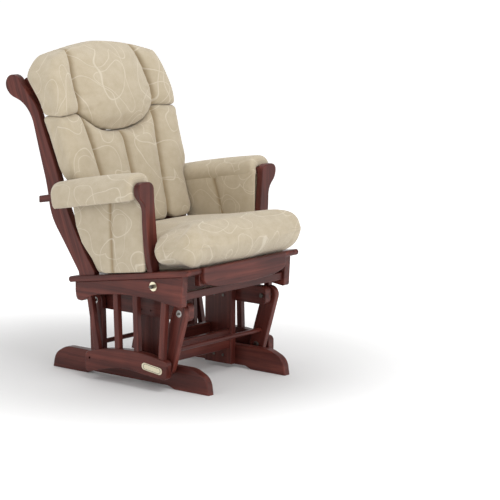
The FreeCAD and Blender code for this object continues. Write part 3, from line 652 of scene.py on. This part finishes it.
def stuff(piece, held, cap):
    """Blows a closed cushion up as cloth, holding some points and capping moves, in mm."""
    before = points_of(piece)
    pins = piece.vertex_groups.new(name="held")
    pins.add([int(i) for i in np.nonzero(held)[0]], 1.0, "REPLACE")
    cloth = piece.modifiers.new("stuffing", "CLOTH")
    cloth.settings.use_pressure = True
    cloth.settings.uniform_pressure_force = PRESSURE
    cloth.settings.effector_weights.gravity = 0
    cloth.settings.vertex_group_mass = "held"
    cloth.settings.pin_stiffness = 1.0
    cloth.collision_settings.use_collision = False
    cloth.point_cache.frame_end = STUFFING_FRAMES
    scene = bpy.context.scene
    for step in range(1, STUFFING_FRAMES + 1):
        scene.frame_set(step)
    depsgraph = bpy.context.evaluated_depsgraph_get()
    blown = piece.evaluated_get(depsgraph).to_mesh()
    after = np.empty(len(blown.vertices) * 3)
    blown.vertices.foreach_get("co", after)
    piece.modifiers.clear()
    scene.frame_set(1)
    move = after.reshape(-1, 3) - before
    size = np.linalg.norm(move, axis=1, keepdims=True) + 1e-9
    move *= cap * MM * np.tanh(size / (cap * MM)) / size
    set_points(piece, before + move)
    piece.vertex_groups.clear()
    print(piece.name, "stuffed, mean move mm", round(float(size.mean() / MM), 1))


def mark_creases(piece, seams):
    """Stores how close each point is to a stitched seam, from 0 to 1, which the cloth finish
    darkens as painted shade.
    """
    near = np.exp(-(seam_distance(points_of(piece), seams) / (CREASE_WIDTH * MM)) ** 2)
    layer = piece.data.attributes.new("crease", "FLOAT", "POINT")
    layer.data.foreach_set("value", near)


def store_cloth_map(piece, flat):
    """Keeps each point's place on the flat cloth, in metres, as a UV map."""
    corners = np.empty(len(piece.data.loops), int)
    piece.data.loops.foreach_get("vertex_index", corners)
    layer = piece.data.uv_layers.new(name="cloth")
    layer.data.foreach_set("uv", flat[corners].ravel())


def keep_cloth_map(piece):
    """Lays the cloth flat: its top as it is, its sides folded out round it."""
    points = points_of(piece)
    half = np.abs(points).max(axis=0)
    fall = half[2] - points[:, 2]
    store_cloth_map(piece, points[:, :2] * (1 + fall[:, None] / half[:2]))


def bend(piece, shape):
    """Takes a cushion from flat (u, v, w) to its place on the chair."""
    points = points_of(piece)
    set_points(piece, np.column_stack(shape(*points.T)))


def stand_for(piece, node):
    """Hides the node that a padded piece stands for and hangs the piece on the seat."""
    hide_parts(node)
    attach(piece, "seat")


def upholster(piece, node):
    """Finish and smoothing for one padded piece, which then takes the place of its node."""
    piece.data.materials.clear()
    piece.data.materials.append(CLOTH)
    for face in piece.data.polygons:
        face.use_smooth = True
    finer = piece.modifiers.new("finer", "SUBSURF")
    finer.levels = finer.render_levels = 1
    apply_modifiers(piece)
    stand_for(piece, node)
    print(piece.name, "faces", len(piece.data.polygons))


def mirrored(corners):
    """Adds the left half of an outline to its right half, which runs bottom to top."""
    return corners + [(-u, v, r) for u, v, r in reversed(corners) if u]


EASING_STEPS = 9


def eased_curve(where, heights, values, reach):
    """Interpolates a few values and softens the corners between them."""
    steps = np.linspace(-reach, reach, EASING_STEPS)
    return np.mean([np.interp(where + s, heights, values) for s in steps], axis=0)


def between_curves(v, w, front, rear, thick, reach):
    """The depth of a slab's points once its faces follow a front and a rear curve."""
    front = eased_curve(v / MM, *front, reach)
    rear = eased_curve(v / MM, *rear, reach)
    middle, half = (front + rear) / 2 * MM, (rear - front) / 2
    return middle - w * half / (thick / 2)


# %% [markdown]
# ## Seat cushion
# A thick T-shaped cushion: its front corners reach past the arm posts and its rear sits
# between the arms. Top and bottom are two cuts of cloth that meet in a seam round its
# middle, so it is fullest at half height and its front is one fat roll.
# %% Make the seat cushion
SEAT_THICK, SEAT_GAP = 130.0, 2.0
SEAT_REAR, SEAT_WAIST, SEAT_NOSE = 82.0, -236.0, -408.0
SEAT_HALF, SEAT_EAR = 232.0, 281.0
PLANK_LOW, PLANK_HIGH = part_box("seat_plank_left")
PLANK_TOP_FRONT, PLANK_TOP_REAR = 0.398, 0.323
PLANK_SLOPE = (PLANK_TOP_REAR - PLANK_TOP_FRONT) / (PLANK_HIGH.y - PLANK_LOW.y)


def plank_top(y):
    """Height of the sloping seat planks' top at a given depth."""
    return PLANK_TOP_FRONT + PLANK_SLOPE * (y - PLANK_LOW.y)


def seat_shape(u, v, w):
    """Lays the cushion on the planks, with a thin gap."""
    middle = plank_top(v) + (SEAT_THICK / 2 + SEAT_GAP) * MM
    return u, v, middle + w


def make_seat_cushion():
    """The T-shaped cushion, held along the seam round its middle."""
    outline = mirrored([(0, SEAT_NOSE, 0), (SEAT_EAR, SEAT_NOSE + 12, 48),
                        (SEAT_EAR, SEAT_WAIST, 12), (SEAT_HALF, SEAT_WAIST + 8, 14),
                        (SEAT_HALF, SEAT_REAR, 26), (0, SEAT_REAR, 0)])
    piece, rim = cut_out("seat_cushion_cloth", outline, SEAT_THICK)
    remesh(piece, voxel=6.0)
    round_rim(piece, rim, roll=60, left=0.12)
    keep_cloth_map(piece)
    stuff(piece, fast_points(piece, rim, edge=4, height=4), cap=10)
    bend(piece, seat_shape)
    upholster(piece, "seat_cushion")


make_seat_cushion()

# %% [markdown]
# ## Back cushion
# The lower back is one cushion stitched into four upright channels, whose lower ends are
# rounded like fingers. Above it the headrest is a fuller roll of three panels, and its
# middle panel hangs down in a deep curve over the channels.
# %% Make the lower back cushion
BACK_FRONT = ([470, 560, 700, 818], [38, 66, 106, 142])
BACK_REAR = ([470, 486, 552, 646, 730, 818], [96, 106, 140, 176, 213, 250])
BACK_THICK = 90.0
SIDE_SEAM = [(129, 455), (143, 620), (154, 730), (174, 850)]
CHANNEL_SEAMS = [[(0, 455), (0, 830)], SIDE_SEAM, [(-u, v) for u, v in SIDE_SEAM]]


def back_shape(u, v, w):
    """Stands the cushion up along the reclined back."""
    return u, between_curves(v, w, BACK_FRONT, BACK_REAR, BACK_THICK, reach=24), v


def make_back_cushion():
    """The channelled cushion, its seams drawn in before and after stuffing."""
    outline = mirrored([
        (0, 506, 3), (12, 474, 22), (116, 470, 22), (129, 502, 3), (141, 470, 22),
        (243, 474, 40), (244, 612, 10), (270, 646, 24), (276, 826, 14), (180, 832, 20),
        (150, 808, 0), (120, 785, 0), (85, 770, 0), (45, 763, 0), (0, 762, 0)])
    piece, rim = cut_out("back_cushion_cloth", outline, BACK_THICK)
    remesh(piece, voxel=5.0)
    round_rim(piece, rim, roll=34, left=0.5)
    keep_cloth_map(piece)
    mark_creases(piece, CHANNEL_SEAMS)
    draw_in(piece, CHANNEL_SEAMS, depth=0.62, reach=54)
    stuff(piece, fast_points(piece, rim, edge=4, height=6, seams=CHANNEL_SEAMS), cap=12)
    draw_in(piece, CHANNEL_SEAMS, depth=0.45, reach=14)
    bend(piece, back_shape)
    upholster(piece, "back_cushion")


make_back_cushion()

# %% Make the headrest
HEAD_FRONT = ([763, 800, 840, 880, 964, 1032, 1052], [158, 144, 144, 152, 184, 224, 268])
HEAD_REAR = ([763, 800, 840, 864, 950, 1010, 1052], [206, 236, 252, 262, 330, 326, 290])
HEAD_THICK = 120.0
HEAD_SEAM = [(174, 800), (178, 900), (170, 960), (140, 1060)]
HEAD_SEAMS = [HEAD_SEAM, [(-u, v) for u, v in HEAD_SEAM]]


def head_shape(u, v, w):
    """Stands the roll up on the back's upper part."""
    return u, between_curves(v, w, HEAD_FRONT, HEAD_REAR, HEAD_THICK, reach=20), v


def make_headrest():
    """The three-panelled roll, made like the cushion below it."""
    outline = mirrored([
        (0, 766, 0), (45, 767, 0), (85, 774, 0), (120, 789, 0), (150, 812, 0), (172, 832, 14),
        (275, 825, 14), (278, 946, 90), (244, 1006, 70), (120, 1040, 100), (0, 1046, 0)])
    piece, rim = cut_out("headrest_cloth", outline, HEAD_THICK)
    remesh(piece, voxel=5.0)
    round_rim(piece, rim, roll=40, left=0.5)
    keep_cloth_map(piece)
    mark_creases(piece, HEAD_SEAMS)
    draw_in(piece, HEAD_SEAMS, depth=0.55, reach=74)
    stuff(piece, fast_points(piece, rim, edge=4, height=6, seams=HEAD_SEAMS), cap=14)
    draw_in(piece, HEAD_SEAMS, depth=0.45, reach=14)
    bend(piece, head_shape)
    upholster(piece, "headrest_cushion")


make_headrest()

# %% [markdown]
# ## Arm panels and pads
# Each arm is closed by a padded panel outside and one inside, each with one upright seam,
# and a fat pad rolls over the arm board like a sleeve. The panels are cut out flat like the
# cushions; the left ones are made once and mirrored for the right.
# %% Make the arm panels
OUTER_SEAM = [(-75, 340), (-68, 480), (-64, 600)]
INNER_SEAM = [(-84, 440), (-48, 554), (-20, 640)]


def mirror_piece(piece, name, node):
    """A left piece's twin on the right, with its faces turned right way out."""
    bm = bmesh.new()
    bm.from_mesh(piece.data)
    bmesh.ops.scale(bm, vec=(-1, 1, 1), verts=bm.verts)
    bmesh.ops.reverse_faces(bm, faces=bm.faces)
    twin = from_bmesh(name, bm)
    twin.data.materials.append(CLOTH)
    stand_for(twin, node)


def make_arm_panel(kind, corners, seam, centre, thick):
    """A thin padded panel with one seam, upright in the plane x = centre, and its twin."""
    node = f"arm_{kind}_panel"
    piece, rim = cut_out(f"{node}_cloth_left", corners, thick)
    remesh(piece, voxel=4.0)
    round_rim(piece, rim, roll=thick * 0.8, left=0.3)
    keep_cloth_map(piece)
    mark_creases(piece, [seam])
    draw_in(piece, [seam], depth=0.5, reach=24, rear_share=1.0)
    held = fast_points(piece, rim, edge=3, height=thick, seams=[seam], stitch=3)
    stuff(piece, held, cap=4)
    draw_in(piece, [seam], depth=0.3, reach=6, rear_share=1.0)
    bend(piece, lambda u, v, w: (centre * MM + w, u, v))
    upholster(piece, f"{node}_left")
    mirror_piece(piece, f"{node}_cloth_right", f"{node}_right")


make_arm_panel("outer", [(-203, 376, 8), (-30, 352, 12), (24, 396, 60), (60, 440, 60),
                         (84, 490, 60), (100, 566, 8), (-203, 612, 8)], OUTER_SEAM,
               centre=280, thick=18)
make_arm_panel("inner", [(-203, 376, 8), (14, 345, 12), (60, 410, 60), (92, 480, 60),
                         (116, 589, 8), (-203, 645, 8)], INNER_SEAM, centre=254, thick=14)

# %% Make the arm pads
WELD = 0.05
BOARD_TOP_FRONT, BOARD_TOP_REAR = 0.650, 0.577
PAD_HELD, PAD_CROWN = 3.0, 30.0


def soften(piece, held, rounds):
    """Relaxes the cloth's corners, except where it is held."""
    bm = bmesh.new()
    bm.from_mesh(piece.data)
    free = [v for v, fast in zip(bm.verts, held) if not fast]
    for _ in range(rounds):
        bmesh.ops.smooth_vert(bm, verts=free, factor=0.5, use_axis_x=True, use_axis_y=True,
                              use_axis_z=True)
    bm.to_mesh(piece.data)
    bm.free()


def make_arm_pads():
    """Remeshes the pad's solid, stuffs it away from the board and finishes it."""
    bm = bmesh.new()
    bm.from_mesh(NODES["arm_pad_left"].data)
    bmesh.ops.remove_doubles(bm, verts=bm.verts, dist=WELD * MM)
    piece = from_bmesh("arm_pad_cloth_left", bm)
    piece.data.materials.clear()
    remesh(piece, voxel=4.0)
    points = points_of(piece)
    low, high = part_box("arm_board_left")
    half = (high.x - low.x) / 2
    slope = (BOARD_TOP_REAR - BOARD_TOP_FRONT) / (high.y - low.y)
    side = points[:, 0] - (low.x + high.x) / 2
    height = points[:, 2] - (BOARD_TOP_FRONT + slope * (points[:, 1] - low.y))
    held = (np.abs(side) < half + PAD_HELD * MM) & (height < PAD_HELD * MM)
    drop = np.clip(PAD_CROWN * MM - height, 0, None) * np.clip(np.abs(side) / half, 0, 1)
    store_cloth_map(piece, np.column_stack([points[:, 1], side + np.sign(side) * drop]))
    soften(piece, held, rounds=14)
    stuff(piece, held, cap=8)
    upholster(piece, "arm_pad_left")
    mirror_piece(piece, "arm_pad_cloth_right", "arm_pad_right")


make_arm_pads()
